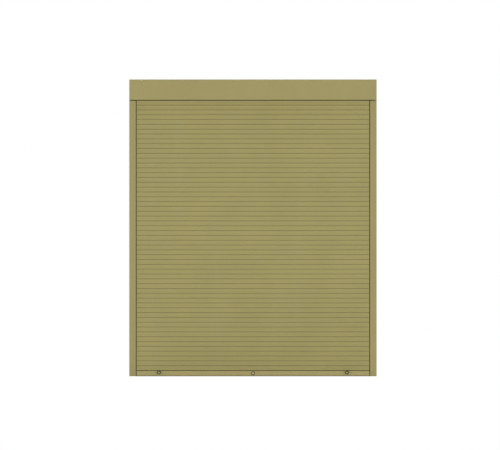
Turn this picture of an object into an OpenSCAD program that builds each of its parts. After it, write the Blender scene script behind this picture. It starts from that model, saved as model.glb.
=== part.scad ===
// Exterior roller shutter, wall side at +Y, outer side at -Y, sill at z = 0.
// Origin: middle of the sill line, in the middle plane of the curtain.

/* [Overall] */
// Full width over both guides and end caps
shutter_w = 2000; // [1000:10:2600]
// Full height from the sill to the top of the box
shutter_h = 2400; // [1400:10:2800]

/* [Box] */
// Height of the box
box_h = 165; // [160:1:205]
// Depth of the box from the wall
box_d = 165; // [160:1:205]
// Thickness of the box sheet
sheet_t = 1.2; // [0.8:0.1:1.6]
// Outer bend radius of the sheet
bend_r = 3; // [2:0.5:5]
// Height of the shell edge that shows above the cover
seam_h = 3.4; // [3.2:0.1:6]
// Height of the shell lip behind the cover
shell_lip = 16; // [10:1:25]
// Distance from the curtain plane to the cover's slot edge
slot_front = 17; // [14:0.5:24]
// Height of the cover's upturned edge along the slot
slot_lip = 12; // [6:1:20]
// Thickness of the end cap plates
cap_t = 3; // [2:0.5:4]
// Depth of the end cap rim under the sheet
cap_rim = 14; // [12:1:20]
// Thickness of the end cap rim
cap_rim_t = 2; // [1.5:0.25:3]
// Thickness of the end cap ribs
rib_t = 3; // [2:0.5:5]
// Height of the end cap ribs
rib_h = 4; // [2:0.5:8]
// Gap from a rib to the holder plate
rib_gap = 3; // [1:0.5:10]
// Inner corner radius of the end cap rim
cap_rim_r = 1; // [0.5:0.25:2]
// Opening of the end cap rim above the cover's slot edge
rim_cut = 22; // [20:1:30]
// Skin of the end cap behind a blind hole
cap_skin = 1; // [0.5:0.25:1.5]
// Clearance between the sheet and the rim
sheet_fit = 0.1; // [0.05:0.05:0.3]
// Length of the end cap spigot in the guide
spigot_l = 60; // [30:5:100]
// Root of the spigot above the underside of the box
spigot_root = 12; // [8:1:16]
// Drop of the slot seal below the box
seal_drop = 6.5; // [2:0.5:8]
// Thickness of the slot seal
slot_seal_t = 1.6; // [1:0.1:2.5]

/* [Guides] */
// Width of a guide seen from the front
guide_w = 53; // [46:1:75]
// Depth of a guide
guide_d = 22; // [21:0.5:27]
// Wall of a guide
guide_t = 1.5; // [1.2:0.1:2]
// Clear width of the closed outer chamber
chamber_w = 12.5; // [11:0.5:14]
// Width of the seal groove
groove_w = 6.5; // [5.5:0.25:7.5]
// Length of a lip that holds the seal
groove_lip = 1.2; // [0.8:0.1:1.6]
// Thickness of a lip that holds the seal
groove_lip_t = 1; // [0.8:0.1:1.4]
// Part of a slat that runs inside the guide
slat_in = 22; // [18:1:24]
// Play from the slat face to the guide ribs
slot_play = 1.9; // [1.6:0.1:2.5]
// Play from the slat face to the lip seal
seal_play = 0.5; // [0.4:0.05:0.8]
// Part of the lip seal that shows past the guide
seal_show = 5.5; // [2:0.5:6]
// Thickness of the lip seal's tip
seal_tip_t = 0.4; // [0.3:0.05:0.6]
// Length of the taper at the lip seal's tip
seal_taper = 1; // [0.5:0.25:2]
// Fit of seals and plugs in their chambers
plug_fit = 0.15; // [0.1:0.05:0.3]
// Diameter of the fixing holes through the guide
fix_hole_d = 6.5; // [5:0.5:8]
// Height of the lowest fixing hole
fix_z = 150; // [100:10:300]
// Distance between neighbouring fixing holes
fix_pitch = 645; // [250:5:800]
// Fixing holes along a guide
fix_n = 4; // [2:1:4]
// Depth of a foot plug
foot_l = 15; // [8:1:30]
// Wall of a foot plug
foot_t = 2; // [1.5:0.25:3]

/* [Inlet funnels] */
// Width of a funnel horn along the curtain
horn_w = 30; // [20:1:36]
// Height of the front horn
horn_h = 27; // [15:1:32]
// Forward reach of the front horn
horn_out = 6.5; // [4:0.5:7]
// Turn of the front horn's curve in degrees
horn_turn = 72; // [60:1:80]
// Height of the rear horn
rear_horn_h = 21; // [15:1:26]
// Root of the horns below the underside of the box
horn_root = 1; // [0.5:0.25:3]
// Wall of the horns
horn_t = 1.8; // [1.4:0.1:2.2]

/* [Slats] */
// Pitch of the slats
slat_pitch = 39; // [37:0.5:45]
// Thickness over the slat profile
slat_th = 8.6; // [8:0.1:9]
// Open joint between two slats
slat_gap = 2; // [1:0.25:3]
// Bow of the slat faces towards the wall
slat_bow = 1.2; // [0.4:0.1:1.2]
// Skin of a slat
skin = 0.4; // [0.35:0.05:0.6]
// Folded front edge over the joint
hem = 0.8; // [0.6:0.05:1]
// Radius taken off the top edges
slat_edge = 1; // [0.5:0.1:1.5]
// Edge taken off the foot of the front face
front_edge = 0.3; // [0.2:0.05:0.4]
// Edge taken off the foot of the rear face
rear_edge = 0.6; // [0.4:0.1:1]
// Front face of the hook's neck, from the curtain plane
neck_y = -2; // [-2.2:0.1:-1.8]
// Thickness of the hooks
hook_t = 0.8; // [0.6:0.05:0.9]
// Side play between two hooks
hook_play = 0.6; // [0.4:0.05:0.7]
// Height of the lower hook's lip
lip_h = 4.3; // [3.5:0.1:5]
// Seat gap between two hooks
hook_seat = 0.3; // [0.3:0.05:0.4]
// Drop of the upper hook's tip
tip_drop = 1.4; // [0.8:0.1:2]
// Free height above a seated hook
pocket_free = 1.6; // [1:0.1:3]

/* [Bottom bar] */
// Height of the bottom bar with its rubber foot
bar_h = 48; // [46:1:60]
// Thickness of the bottom bar
bar_th = 8.8; // [8.6:0.1:9]
// Wall of the bottom bar
bar_t = 1.4; // [1.2:0.1:1.5]
// Edge taken off the corners of the bar
bar_edge = 0.6; // [0.4:0.1:1]
// Open joint above the bottom bar
bar_gap = 5; // [2:0.25:5.5]
// Height of the rubber foot below the bar
foot_seal_h = 4; // [3:0.5:6]
// Width of the rubber foot
foot_seal_w = 7.2; // [6:0.2:8]
// Width of the groove opening for the foot
foot_neck = 4; // [3:0.25:4.5]
// Height of the groove for the foot
foot_groove = 3; // [2.5:0.25:3.5]
// Thickness of the bar's end caps
bar_cap_t = 2; // [1.5:0.25:3]
// Depth of an end cap inside the bar
bar_cap_in = 12; // [8:1:20]

/* [Stoppers] */
// Distance of a stopper from the middle
stop_x = 760; // [200:10:850]
// Height of the stoppers above the sill
stop_z = 30; // [28:0.5:31]
// Diameter of a stopper at the bar
stop_d = 28; // [24:1:30]
// Diameter of a stopper at its tip
stop_tip_d = 25; // [22:1:28]
// Length of a stopper
stop_l = 26; // [18:1:40]
// Diameter of the cap in a stopper
stop_cap_d = 17; // [14:0.5:18]
// Thickness of the cap in a stopper
stop_cap_t = 2; // [1.5:0.5:4]
// Crown of the cap past the stopper's tip
stop_crown = 0.5; // [0.25:0.25:1]
// Diameter of the stopper screws
stop_screw_d = 5; // [4:0.5:6]
// Diameter of the stopper screw heads
stop_head_d = 9; // [8:0.5:11]
// Height of the stopper screw heads
stop_head_h = 4; // [3:0.25:5]
// Gap from a stopper's cap to its screw head
stop_head_gap = 1; // [0.5:0.25:2]
// Length of the insert nuts
stop_nut_l = 2; // [1.5:0.25:2.5]
// Wall of the insert nuts
stop_nut_t = 1.5; // [1:0.25:2]

/* [Lock] */
// Height of the lock above the underside of the bar
lock_z = 20; // [19.5:0.5:21]
// Diameter of the dark rose around the lock
rose_d = 32; // [28:1:36]
// Thickness of the rose
rose_t = 4; // [2:0.5:6]
// Taper of the rose over its thickness
rose_taper = 1.5; // [0.5:0.25:3]
// Outer diameter of the lock body
lock_body_d = 20; // [18:0.5:22]
// Diameter of the lock cylinder
lock_cyl_d = 16; // [14:0.5:17]
// Length of the lock in front of the bar
lock_out = 5.1; // [3:0.1:8]
// Length of the cylinder in front of the lock body
lock_proud = 0.4; // [0.2:0.1:1]
// Width of the flange behind the bar's front wall
lock_flange = 2.5; // [1.5:0.25:3]
// Thickness of the flange
lock_flange_t = 0.8; // [0.6:0.1:1]
// Width of the key slot
key_w = 1.6; // [1:0.1:2.4]
// Height of the key slot
key_h = 8; // [5:0.5:10]
// Depth of the key slot
key_depth = 4; // [2:0.25:5]
// Diameter of the bore in the middle of the key slot
key_bore_d = 3.2; // [2:0.2:4]
// Depth of the bore in the middle of the key slot
key_bore_depth = 3; // [1:0.25:4]
// Diameter of the cylinder's shaft
lock_shaft_d = 6; // [5:0.5:8]
// Radial running clearance of turning parts
run_fit = 0.05; // [0.02:0.01:0.08]
// Tooth module of pinion and rods
tooth_m = 1; // [0.8:0.05:1.05]
// Teeth of the pinion
tooth_n = 14; // [12:2:16]
// Part of the pinion in front of the rods
pinion_proud = 0.4; // [0.2:0.1:0.5]
// Play between the teeth
tooth_play = 0.25; // [0.15:0.05:0.35]
// Thickness of a lock rod
rod_t = 3; // [2:0.25:3]
// Height of a lock rod above its teeth
rod_h = 5.9; // [5:0.1:6]
// Play of a rod in its guides
rod_fit = 0.25; // [0.2:0.05:0.4]
// Edge taken off a rod's tip
rod_edge = 1; // [0.5:0.25:2]
// Play between the lower rod and the floor of the bar
rod_floor = 0.2; // [0.1:0.05:0.5]
// Length of a rod guide
rod_guide_l = 20; // [12:1:40]
// Height of a lock keeper
keeper_h = 20; // [12:1:30]
// Play between a rod and its keeper
keeper_play = 1; // [0.5:0.1:2]
// Gap from a keeper to the end cap of the bar
keeper_gap = 2; // [1:0.25:3]

/* [Winding tube] */
// Tube size across its flats
tube_af = 60; // [50:1:70]
// Wall of the tube
tube_t = 1; // [0.8:0.1:1.5]
// Gap from an end cap to the tube
tube_end = 26; // [24:1:34]
// Depth of the plugs in the tube
plug_l = 50; // [30:1:80]
// Flange of the tube plugs
plug_flange = 3; // [2:0.5:4]
// Height of the flange above the tube's flats
plug_rim = 2; // [1:0.5:4]
// Web of a plug in front of its pockets
plug_web = 8; // [5:0.5:15]
// Diameter of the bearing pin
pin_d = 12; // [10:1:14]
// Outer diameter of the ball bearing
bearing_d = 28; // [26:1:32]
// Width of the ball bearing
bearing_w = 8; // [7:0.5:9]
// Balls in the bearing
ball_n = 8; // [6:1:9]
// Diameter of a ball
ball_d = 4.6; // [4:0.1:4.8]
// Play of a ball in its grooves
ball_play = 0.3; // [0.25:0.05:0.4]
// Wall of the boss round the bearing
bearing_wall = 4; // [3:0.5:5]
// Length of the boss past the bearing
bearing_lip = 2; // [1:0.5:3]
// Gap from the holder plate to the bearing
bearing_gap = 1; // [0.5:0.25:2]
// Room round the pin in the holder plate
pin_room = 2; // [1:0.5:3]
// Side of the square holder plates
holder_w = 70; // [56:1:90]
// Thickness of the holder plates
holder_t = 4; // [3:0.5:5]
// Distance of a holder screw from the edge of the plate
holder_edge = 7; // [6:0.5:9]

/* [Spring balance] */
// Diameter of the fixed shaft
shaft_d = 14; // [12:0.5:16]
// Length of the fixed shaft
shaft_l = 730; // [300:10:740]
// Square of the shaft end
shaft_sq = 10; // [8:0.5:10]
// Length of the boss round the shaft end
shaft_boss_l = 10; // [8:1:14]
// Wall of the boss round the shaft end
shaft_boss_t = 6; // [4:0.5:8]
// Length of the shaft past the hub
hub_back = 10; // [6:1:16]
// Length of the hub in the tube
hub_l = 25; // [20:1:40]
// Mean diameter of the spring coil
coil_d = 30; // [26:1:34]
// Diameter of the spring wire
wire_d = 4; // [3:0.25:5]
// Turns of the spring
coil_n = 36; // [10:1:40]
// Length of the spring's seats on hub and cone
seat_l = 22; // [20:1:30]
// Play of the coil on its seats
seat_play = 0.3; // [0.2:0.05:0.5]
// Gap from the coil's ends to hub and cone
coil_end = 0.4; // [0.3:0.05:1]
// Length of the cone's collar
cone_l = 22; // [16:1:30]
// Gap from the cone to the tube plug
cone_gap = 8; // [4:1:16]

/* [Hangers] */
// Straps along the tube
strap_n = 4; // [2:1:6]
// Width of a strap
strap_w = 38; // [25:1:50]
// Thickness of a strap
strap_t = 0.8; // [0.5:0.1:0.9]
// Part of a strap inside the tube
strap_tail = 7; // [4:0.5:9]
// Height above the tube's axis where a strap goes in
strap_in = 8; // [5:0.5:10]
// Depth below the tube's axis where a strap comes off
strap_off = 9; // [6:0.5:11]
// Side play of a strap in its slot in the tube
strap_side = 1; // [0.5:0.25:2]
// Play of a strap in the height of its slot
strap_play = 0.6; // [0.4:0.1:1]
// Room round a strap's end in the spring hub
strap_room = 2; // [1:0.5:3]
// Distance of a strap's bend in front of the slat's neck
strap_lead = 0.8; // [0.5:0.1:1.2]
// Height of a strap over the place of the next hook
strap_over = 1; // [0.8:0.1:1.4]
// Fall of a strap over the place of the next hook
strap_fall = 0.6; // [0.4:0.1:1]
// Height of a strap's turned end above the joint line
strap_turn = 1.2; // [1:0.1:1.4]

/* [Screws and rivets] */
// Diameter of the cover screws
cover_screw_d = 4; // [3:0.5:5]
// Length of the cover screws
cover_screw_l = 12; // [8:1:16]
// Diameter of the cover screw heads
cover_head_d = 8; // [6.5:0.5:9]
// Edge taken off the cover screw heads
cover_head_edge = 0.8; // [0.4:0.1:1.2]
// Height of the cover screw heads
cover_head_h = 2; // [1.5:0.25:3]
// Distance from the box front to the first cover screw
cover_screw_y = 34; // [20:1:50]
// Distance between the two cover screws of an end
cover_screw_pitch = 80; // [40:1:90]
// Diameter of the shell rivets
rivet_d = 3.2; // [3:0.2:4]
// Length of the shell rivets
rivet_l = 9; // [6:1:11]
// Distance from the box front to the first rivet
rivet_y = 34; // [20:1:50]
// Distance between neighbouring rivets
rivet_pitch = 50; // [30:1:55]
// Rivets along each end of the shell
rivet_n = 3; // [2:1:3]
// Diameter of the holder screws
holder_screw_d = 4; // [3:0.5:5]
// Diameter of the holder screw heads
holder_head_d = 7.2; // [6:0.2:8]
// Height of the holder screw heads
holder_head_h = 2.2; // [1.5:0.1:3]

/* [Hidden] */
$fn = 48;
// overlap of two forms that make one solid, and overrun of a cut past a face
weld = 0.5;
cut = 1;
hair = 0.01;
// radial allowance of a press fit, and play at the end of a screw
press = 0.02;
end_play = 0.2;
half_w = shutter_w / 2;
box_z = shutter_h - box_h;
wall_y = guide_d / 2;
front_y = wall_y - box_d;
drum_y = wall_y - box_d / 2;
drum_z = box_z + box_h / 2;
inner_x = half_w - cap_t;
web_u = guide_t + chamber_w;
slot_u = web_u + guide_t;
guide_top = box_z - seal_drop;
slot_half = slat_th / 2 + slot_play;
seal_y = slat_th / 2 + seal_play;
slat_l = shutter_w - 2 * (guide_w - slat_in);
end_x = slat_l / 2;
face_h = slat_pitch - slat_gap;
slat_front = slat_th / 2;
slat_rear = slat_th / 2 - slat_bow;
neck_r = neck_y + hook_t;
lip_y = neck_r + hook_play;
lip_r = lip_y + hook_t;
tip_y = lip_r + hook_play;
tip_r = tip_y + hook_t;
hook_low = lip_h + hook_seat;
hook_top = hook_low + hook_t;
pocket_h = hook_top + pocket_free;
slat_count = floor((box_z - bar_h) / slat_pitch);
band_count = 14;
top_z = bar_h + slat_count * slat_pitch;
bar_y = bar_th / 2;
bar_in = bar_y - bar_t;
bar_low = foot_seal_h;
bar_top = bar_h - bar_gap;
groove_low = bar_low + bar_t;
groove_top = groove_low + foot_groove;
flank_a = 20;
pitch_r = tooth_m * tooth_n / 2;
rack_add = 0.75 * tooth_m;
rack_ded = 1.1 * tooth_m;
tooth_add = 0.9 * tooth_m;
tooth_room = 0.3 * tooth_m;
tooth_p = PI * tooth_m;
rod_y = 0.35 * bar_in;
lock_axis = bar_low + lock_z;
rod_low = lock_axis + pitch_r + rack_ded;
rod_top = rod_low + rod_h;
room_low = 2 * lock_axis - rod_top - rod_floor;
room_top = bar_top - bar_t * 2;
rod_tail = pitch_r * PI / 2 + 9 * tooth_m;
rack_edge = 2 * tooth_m;
rod_guide_at = [0.15, 0.5, 0.9];
seal_grip = slot_lip / 2 - 1;
tube_x = inner_x - tube_end + plug_flange;
plug_af = tube_af - 2 * tube_t - 2 * plug_fit;
pocket_ring = tube_af / 3.1;
pocket_r = tube_af / 11;
octa = 1 / cos(22.5);
bearing_r = bearing_d / 2;
ball_ring = (bearing_d + pin_d) / 4;
ball_land = 0.3 * ball_d;
bearing_x = -inner_x + holder_t + bearing_gap;
shaft_in = inner_x - shaft_l;
shaft_out = inner_x - holder_t - shaft_boss_l;
hub_x = shaft_in + hub_back;
coil_x0 = hub_x + hub_l;
cone_x = tube_x - plug_l - cone_gap - cone_l;
coil_x1 = cone_x - seat_l;
seat_r = (coil_d - wire_d) / 2 * cos(22.5) - seat_play;
strap_z = drum_z + strap_in;
strap_step = slat_l / strap_n;
horn_low = box_z - horn_root;
screw_x = inner_x - cap_rim / 2;

function band_name(b) = str("slat_band_", b < 9 ? "0" : "", b + 1);
function unit(v) = v / norm(v);
function perp(v) = [-v[1], v[0]];
function back(p) = [for (i = [len(p) - 1:-1:0]) p[i]];
// point i of an open line, moved sideways by w with its corners kept square
function aside(p, i, w) =
  let (a = perp(unit(p[max(i, 1)] - p[max(i, 1) - 1])))
  let (b = i < len(p) - 1 ? perp(unit(p[i + 1] - p[i])) : a)
  p[i] + w * (a + b) / (1 + a * b);
function strip(p, w) = concat(
  [for (i = [0:len(p) - 1]) aside(p, i, w / 2)],
  [for (i = [len(p) - 1:-1:0]) aside(p, i, -w / 2)]
);
// arc points of a square bend at p[i], with its centre from the outer radius
function bend(p, i, r, ro) =
  let (a = unit(p[i] - p[i - 1]))
  let (b = unit(p[i + 1] - p[i]))
  [for (k = [0:4]) p[i] + ro * (b - a) + r * (sin(22.5 * k) * a - cos(22.5 * k) * b)];
function bends(p, r, ro) = [for (i = [1:len(p) - 2]) each bend(p, i, r, ro)];
// outline of a bent sheet whose outer face runs along p, all bends turning one way
function sheet(p, t, r) =
  let (n = len(p) - 1)
  concat(
    [p[0]],
    bends(p, r, r),
    [p[n], p[n] - t * unit(p[n - 1] - p[n - 2])],
    back(bends(p, r - t, r)),
    [p[0] + t * unit(p[2] - p[1])]
  );
function ring_box(y0, z0, y1, z1, r) = [
  for (k = [0:4]) [y1 - r + r * sin(22.5 * k), z1 - r + r * cos(22.5 * k)],
  for (k = [0:4]) [y1 - r + r * cos(22.5 * k), z0 + r - r * sin(22.5 * k)],
  for (k = [0:4]) [y0 + r - r * sin(22.5 * k), z0 + r - r * cos(22.5 * k)],
  for (k = [0:4]) [y0 + r - r * cos(22.5 * k), z1 - r + r * sin(22.5 * k)]
];

// profiles drawn in (y, z) and run along the width
module along(x0, x1) {
  translate([x0, 0, 0])
    rotate([90, 0, 90])
      linear_extrude(x1 - x0)
        children();
}
// profiles drawn in (x, z) and run towards the wall
module inward(y0, y1) {
  translate([0, y1, 0])
    rotate([90, 0, 0])
      linear_extrude(y1 - y0)
        children();
}
// round bar along the width
module round_x(x0, x1, r) {
  translate([x0, 0, 0])
    rotate([0, 90, 0])
      cylinder(h = x1 - x0, r = r);
}
// round bar towards the wall, straight or tapered
module round_y(y0, y1, r) {
  taper_y(y0, y1, r, r);
}
module taper_y(y0, y1, r0, r1) {
  translate([0, y0, 0])
    rotate([-90, 0, 0])
      cylinder(h = y1 - y0, r1 = r0, r2 = r1);
}
// eight-sided bar along the width, given across its flats
module octagon(x0, x1, af) {
  translate([x0, 0, 0])
    rotate([0, 90, 0])
      rotate(22.5)
        cylinder(h = x1 - x0, r = af / 2 * octa, $fn = 8);
}
module at_drum() {
  translate([0, drum_y, drum_z])
    children();
}
module both_sides() {
  children();
  mirror([1, 0, 0])
    children();
}

// Box

module cap_rim_shape() {
  g = sheet_t + sheet_fit;
  r = max(bend_r - g, 0.5);
  w = cap_rim_t;
  difference() {
    polygon(ring_box(front_y + 2 * g, box_z + g, wall_y - g, shutter_h - g, r));
    polygon(ring_box(front_y + 2 * g + w, box_z + g + w, wall_y - g - w, shutter_h - g - w, cap_rim_r));
    translate([-slot_front - bend_r - sheet_fit, box_z])
      square([slot_front + bend_r + sheet_fit + wall_y, slot_lip + rim_cut]);
  }
}
// ribs from the holder's corners to the corners of the rim
module rim_ribs() {
  r0 = holder_w * sqrt(0.5) + rib_gap;
  r1 = (min(box_h, box_d) / 2 - 2 * sheet_t - 2 * sheet_fit - cap_rim_t / 2) * sqrt(2) - rib_t / 2;
  for (a = [45, 135, 225])
    translate([0, drum_y, drum_z])
      rotate([a, 0, 0])
        translate([-inner_x - weld, r0, -rib_t / 2])
          cube([rib_h + weld, r1 - r0, rib_t]);
}
module cover_screw_spots() {
  for (i = [0:1])
    translate([screw_x, front_y + cover_screw_y + i * cover_screw_pitch, box_z])
      children();
}
module rivet_spots() {
  for (i = [0:rivet_n - 1])
    translate([screw_x, front_y + rivet_y + i * rivet_pitch, shutter_h])
      children();
}
// plate, rim and spigot of the left end cap; the right one is its mirror image
module cap_body() {
  along(-half_w, -inner_x)
    polygon(ring_box(front_y, box_z, wall_y, shutter_h, bend_r));
  along(-inner_x - weld, -inner_x + cap_rim)
    cap_rim_shape();
  rim_ribs();
  translate([-half_w + guide_t + plug_fit, -wall_y + guide_t + plug_fit, box_z - spigot_l])
    cube([chamber_w - 2 * plug_fit, guide_d - 2 * guide_t - 2 * plug_fit, spigot_l + spigot_root]);
}
module cap_holes() {
  mirror([1, 0, 0]) {
    cover_screw_spots()
      cylinder(h = cover_screw_l + cut, r = cover_screw_d / 2 + run_fit);
    rivet_spots()
      translate([0, 0, -rivet_l - cut])
        cylinder(h = rivet_l + cut, r = rivet_d / 2 + run_fit);
  }
  at_drum()
    holder_spots()
      round_x(-half_w + cap_skin, -inner_x + cut, holder_screw_d / 2 + run_fit);
}
module left_end_cap() {
  color("#a09868")
    difference() {
      cap_body();
      cap_holes();
    }
}
module right_end_cap() {
  color("#a09868")
    mirror([1, 0, 0])
      difference() {
        cap_body();
        cap_holes();
      }
}
module rear_shell() {
  t = sheet_t;
  f = front_y + t + sheet_fit;
  low = shutter_h - seam_h - shell_lip;
  path = [[f, low], [f, shutter_h], [wall_y, shutter_h], [wall_y, box_z]];
  color("#a09868")
    difference() {
      along(-inner_x, inner_x)
        polygon(sheet(path, t, bend_r));
      both_sides()
        rivet_spots() {
          translate([0, 0, -t - cut])
            cylinder(h = t + 2 * cut, r = rivet_d / 2 + run_fit);
          translate([0, 0, -t])
            cylinder(h = t + hair, r1 = rivet_d / 2 + run_fit, r2 = rivet_d / 2 + t);
        }
    }
}
module front_cover() {
  path = [
    [front_y, shutter_h - seam_h], [front_y, box_z],
    [-slot_front, box_z], [-slot_front, box_z + slot_lip]
  ];
  color("#a29867")
    difference() {
      along(-inner_x, inner_x)
        polygon(sheet(path, sheet_t, bend_r));
      both_sides()
        cover_screw_spots()
          translate([0, 0, -cut])
            cylinder(h = sheet_t + 2 * cut, r = cover_screw_d / 2 + run_fit);
    }
}
module cover_screws() {
  color("#5c5234")
    both_sides()
      cover_screw_spots() {
        cylinder(h = cover_screw_l, r = cover_screw_d / 2);
        translate([0, 0, -cover_head_h])
          cylinder(h = cover_head_h, r1 = cover_head_d / 2 - cover_head_edge, r2 = cover_head_d / 2);
      }
}
module shell_rivets() {
  color("#a09868")
    both_sides()
      rivet_spots() {
        translate([0, 0, -rivet_l])
          cylinder(h = rivet_l, r = rivet_d / 2);
        translate([0, 0, -sheet_t])
          cylinder(h = sheet_t, r1 = rivet_d / 2, r2 = rivet_d / 2 + sheet_t - run_fit);
      }
}
// strip clipped over the cover's slot edge, hanging below the box
module slot_seal() {
  y0 = -slot_front - sheet_t - sheet_fit;
  y1 = -slot_front + sheet_fit;
  z1 = box_z + slot_lip + sheet_fit;
  color("#463e24")
    along(-inner_x, inner_x)
      polygon([
        [y1, box_z - seal_drop], [y1 + slot_seal_t, box_z - seal_drop],
        [y1 + slot_seal_t, z1 + slot_seal_t], [y0 - slot_seal_t, z1 + slot_seal_t],
        [y0 - slot_seal_t, z1 - seal_grip], [y0, z1 - seal_grip], [y0, z1], [y1, z1]
      ]);
}

// Guides

// inner side of one half of the guide's slot, from the mouth to the web
function slot_side(s) =
  let (d = guide_d / 2 - guide_t)
  let (m = guide_w - guide_t)
  let (g = m - groove_w)
  let (h = slot_half)
  let (k = slot_half + groove_lip_t)
  [
    [guide_w, s * h], [m - groove_lip, s * h], [m - groove_lip, s * k], [m, s * k],
    [m, s * d], [g, s * d], [g, s * k], [g + groove_lip, s * k], [g + groove_lip, s * h],
    [g - guide_t, s * h], [g - guide_t, s * d], [slot_u, s * d]
  ];
module guide_shape() {
  d = guide_d / 2;
  difference() {
    polygon(concat(
      [[0, d], [guide_w, d]],
      slot_side(1),
      back(slot_side(-1)),
      [[guide_w, -d], [0, -d]]
    ));
    translate([guide_t, guide_t - d])
      square([chamber_w, guide_d - 2 * guide_t]);
  }
}
module guide_body() {
  difference() {
    translate([-half_w, 0, 0])
      linear_extrude(guide_top)
        guide_shape();
    for (i = [0:fix_n - 1])
      translate([0, 0, fix_z + i * fix_pitch])
        round_x(-half_w - cut, -half_w + slot_u + cut, fix_hole_d / 2);
  }
}
module left_guide() {
  color("#a39867")
    guide_body();
}
module right_guide() {
  color("#a39867")
    mirror([1, 0, 0])
      guide_body();
}
module lip_seal(s) {
  d = guide_d / 2 - guide_t - plug_fit;
  k = slot_half + groove_lip_t + plug_fit;
  h = slot_half - plug_fit;
  b1 = guide_w - guide_t - plug_fit;
  b0 = guide_w - guide_t - groove_w + plug_fit;
  n1 = b1 - groove_lip;
  n0 = b0 + groove_lip;
  e = guide_w + seal_show;
  translate([-half_w, 0, 0])
    linear_extrude(guide_top)
      polygon([
        [n0, s * seal_y], [e, s * seal_y], [e, s * (seal_y + seal_tip_t)], [e - seal_taper, s * h],
        [n1, s * h], [n1, s * k], [b1, s * k], [b1, s * d],
        [b0, s * d], [b0, s * k], [n0, s * k]
      ]);
}
module guide_seals() {
  color("#463e24")
    both_sides() {
      lip_seal(1);
      lip_seal(-1);
    }
}
module guide_foot_plugs() {
  w = guide_d - 2 * guide_t - 2 * plug_fit;
  color("#463e24")
    both_sides()
      translate([-half_w + guide_t + plug_fit, -w / 2, 0])
        difference() {
          cube([chamber_w - 2 * plug_fit, w, foot_l]);
          translate([foot_t, foot_t, foot_t])
            cube([chamber_w - 2 * plug_fit - 2 * foot_t, w - 2 * foot_t, foot_l]);
        }
}
module keeper(low) {
  g = guide_d / 2 - guide_t - plug_fit;
  translate([-half_w + slot_u, -g, low])
    cube([guide_w - slat_in - bar_cap_t - slot_u - keeper_gap, 2 * g, keeper_h]);
}
// blocks on the guide webs that the locked rods lie under
module lock_keepers() {
  color("#8c8d8f") {
    keeper(rod_top + keeper_play);
    mirror([1, 0, 0])
      keeper(2 * lock_axis - rod_low + keeper_play);
  }
}

// Inlet funnels

function horn_arc(off) = [
  for (k = [0:6])
    let (a = horn_turn * k / 6)
    [
      -slot_half - off - horn_out * (1 - cos(a)),
      box_z + horn_h * sin(a) / sin(horn_turn)
    ]
];
module funnel() {
  translate([-half_w, 0, guide_top])
    linear_extrude(seal_drop)
      difference() {
        translate([0, -guide_d / 2])
          square([guide_w, guide_d]);
        translate([guide_t, guide_t - guide_d / 2])
          square([chamber_w, guide_d - 2 * guide_t]);
        translate([slot_u, -slot_half])
          square([guide_w, 2 * slot_half]);
      }
  along(-half_w + slot_u, -half_w + slot_u + horn_w)
    polygon(concat(
      [[-slot_half, horn_low]],
      horn_arc(0),
      back(horn_arc(horn_t)),
      [[-slot_half - horn_t, horn_low]]
    ));
  translate([-half_w + slot_u, slot_half, horn_low])
    cube([horn_w, horn_t, rear_horn_h]);
}
module inlet_funnels() {
  color("#463e24")
    both_sides()
      funnel();
}

// Bearing end

module holder_spots() {
  for (y = [-1, 1], z = [-1, 1])
    translate([0, y * (holder_w / 2 - holder_edge), z * (holder_w / 2 - holder_edge)])
      children();
}
module holder_hole() {
  round_x(-inner_x - cut, -inner_x + holder_t + cut, holder_screw_d / 2 + run_fit);
}
module holder_plate() {
  translate([-inner_x, -holder_w / 2, -holder_w / 2])
    cube([holder_t, holder_w, holder_w]);
}
module bearing_holder() {
  color("#3c3c3e")
    at_drum()
      difference() {
        union() {
          holder_plate();
          round_x(-inner_x, bearing_x + bearing_w + bearing_lip, bearing_r + bearing_wall);
        }
        round_x(bearing_x, bearing_x + bearing_w + bearing_lip + cut, bearing_r + press);
        round_x(-inner_x - cut, bearing_x + cut, pin_d / 2 + pin_room);
        holder_spots()
          holder_hole();
      }
}
module shaft_holder() {
  s = shaft_sq + 2 * run_fit;
  color("#8c8d8f")
    at_drum()
      difference() {
        union() {
          mirror([1, 0, 0])
            holder_plate();
          round_x(shaft_out, inner_x, shaft_d / 2 + shaft_boss_t);
        }
        translate([shaft_out - cut, -s / 2, -s / 2])
          cube([inner_x - shaft_out + 2 * cut, s, s]);
        mirror([1, 0, 0])
          holder_spots()
            holder_hole();
      }
}
module holder_screws() {
  color("#8c8d8f")
    both_sides()
      at_drum()
        holder_spots() {
          round_x(-half_w + cap_skin + end_play, -inner_x + holder_t + weld, holder_screw_d / 2);
          round_x(-inner_x + holder_t, -inner_x + holder_t + holder_head_h, holder_head_d / 2);
        }
}
module ball_groove() {
  translate([bearing_x + bearing_w / 2, 0, 0])
    rotate([0, 90, 0])
      rotate_extrude()
        translate([ball_ring, 0])
          circle(r = ball_d / 2 + ball_play);
}
module bearing_outer_ring() {
  color("#b9babb")
    at_drum()
      difference() {
        round_x(bearing_x, bearing_x + bearing_w, bearing_r);
        round_x(bearing_x - cut, bearing_x + bearing_w + cut, ball_ring + ball_land);
        ball_groove();
      }
}
module bearing_inner_ring() {
  color("#b9babb")
    at_drum()
      difference() {
        round_x(bearing_x, bearing_x + bearing_w, ball_ring - ball_land);
        round_x(bearing_x - cut, bearing_x + bearing_w + cut, pin_d / 2 + press);
        ball_groove();
      }
}
module bearing_balls() {
  color("#d0d1d2")
    at_drum()
      for (i = [0:ball_n - 1])
        rotate([i * 360 / ball_n, 0, 0])
          translate([bearing_x + bearing_w / 2, 0, ball_ring])
            sphere(d = ball_d);
}

// Winding tube

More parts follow.
